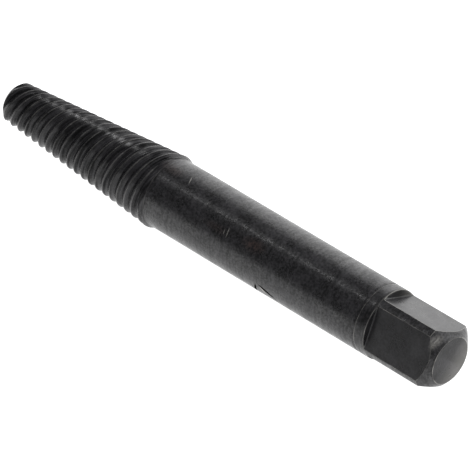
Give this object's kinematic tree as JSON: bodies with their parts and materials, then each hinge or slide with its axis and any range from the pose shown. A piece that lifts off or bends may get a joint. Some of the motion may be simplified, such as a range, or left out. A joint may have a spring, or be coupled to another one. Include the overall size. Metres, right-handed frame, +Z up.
{
  "type": "screw extractor",
  "caption": "Spiral screw extractor with a tapered left-hand fluted nose, a plain round shank and a milled square drive end.",
  "frame": {"origin": "centre of the flat drive end face", "axes": "+X along the tool's axis, out of the square drive end; the fluted nose points to -X; +Z up with the tool lying on its side"},
  "size_m": [0.0864, 0.0116, 0.0116],
  "materials": {
    "blackened_steel": "black oxide over ground and milled tool steel, oiled, satin"
  },
  "bodies": {
    "root": {"extractor": "blackened_steel"}
  },
  "joints": []
}
